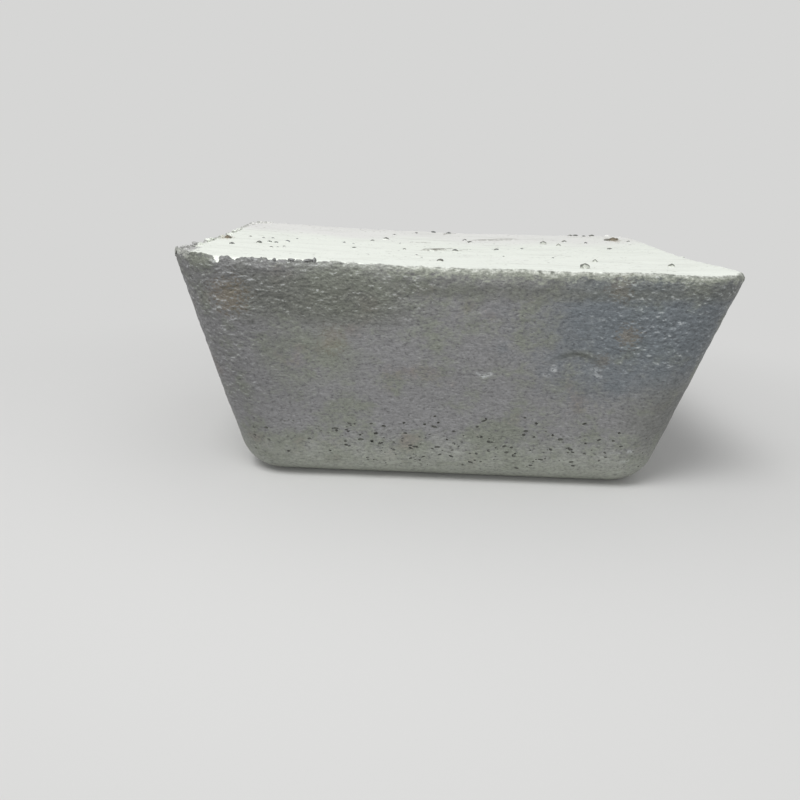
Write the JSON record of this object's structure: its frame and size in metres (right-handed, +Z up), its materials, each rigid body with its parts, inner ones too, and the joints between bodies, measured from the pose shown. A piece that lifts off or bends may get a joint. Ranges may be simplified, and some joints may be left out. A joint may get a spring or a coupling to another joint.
{
  "type": "metal ingot",
  "caption": "Squat cast metal ingot with drafted walls, rounded corners and a sunk, chalky free surface, standing on its smaller moulded base.",
  "frame": {"origin": "centre of the flat moulded base", "axes": "+X along the long side, +Y through the depth away from the pictured face, +Z up from the base to the free surface"},
  "size_m": [0.5962, 0.506, 0.2566],
  "materials": {
    "cast_metal": "dull as-cast skin with chalky oxide on top"
  },
  "bodies": {
    "root": {"ingot": "cast_metal"}
  },
  "joints": []
}
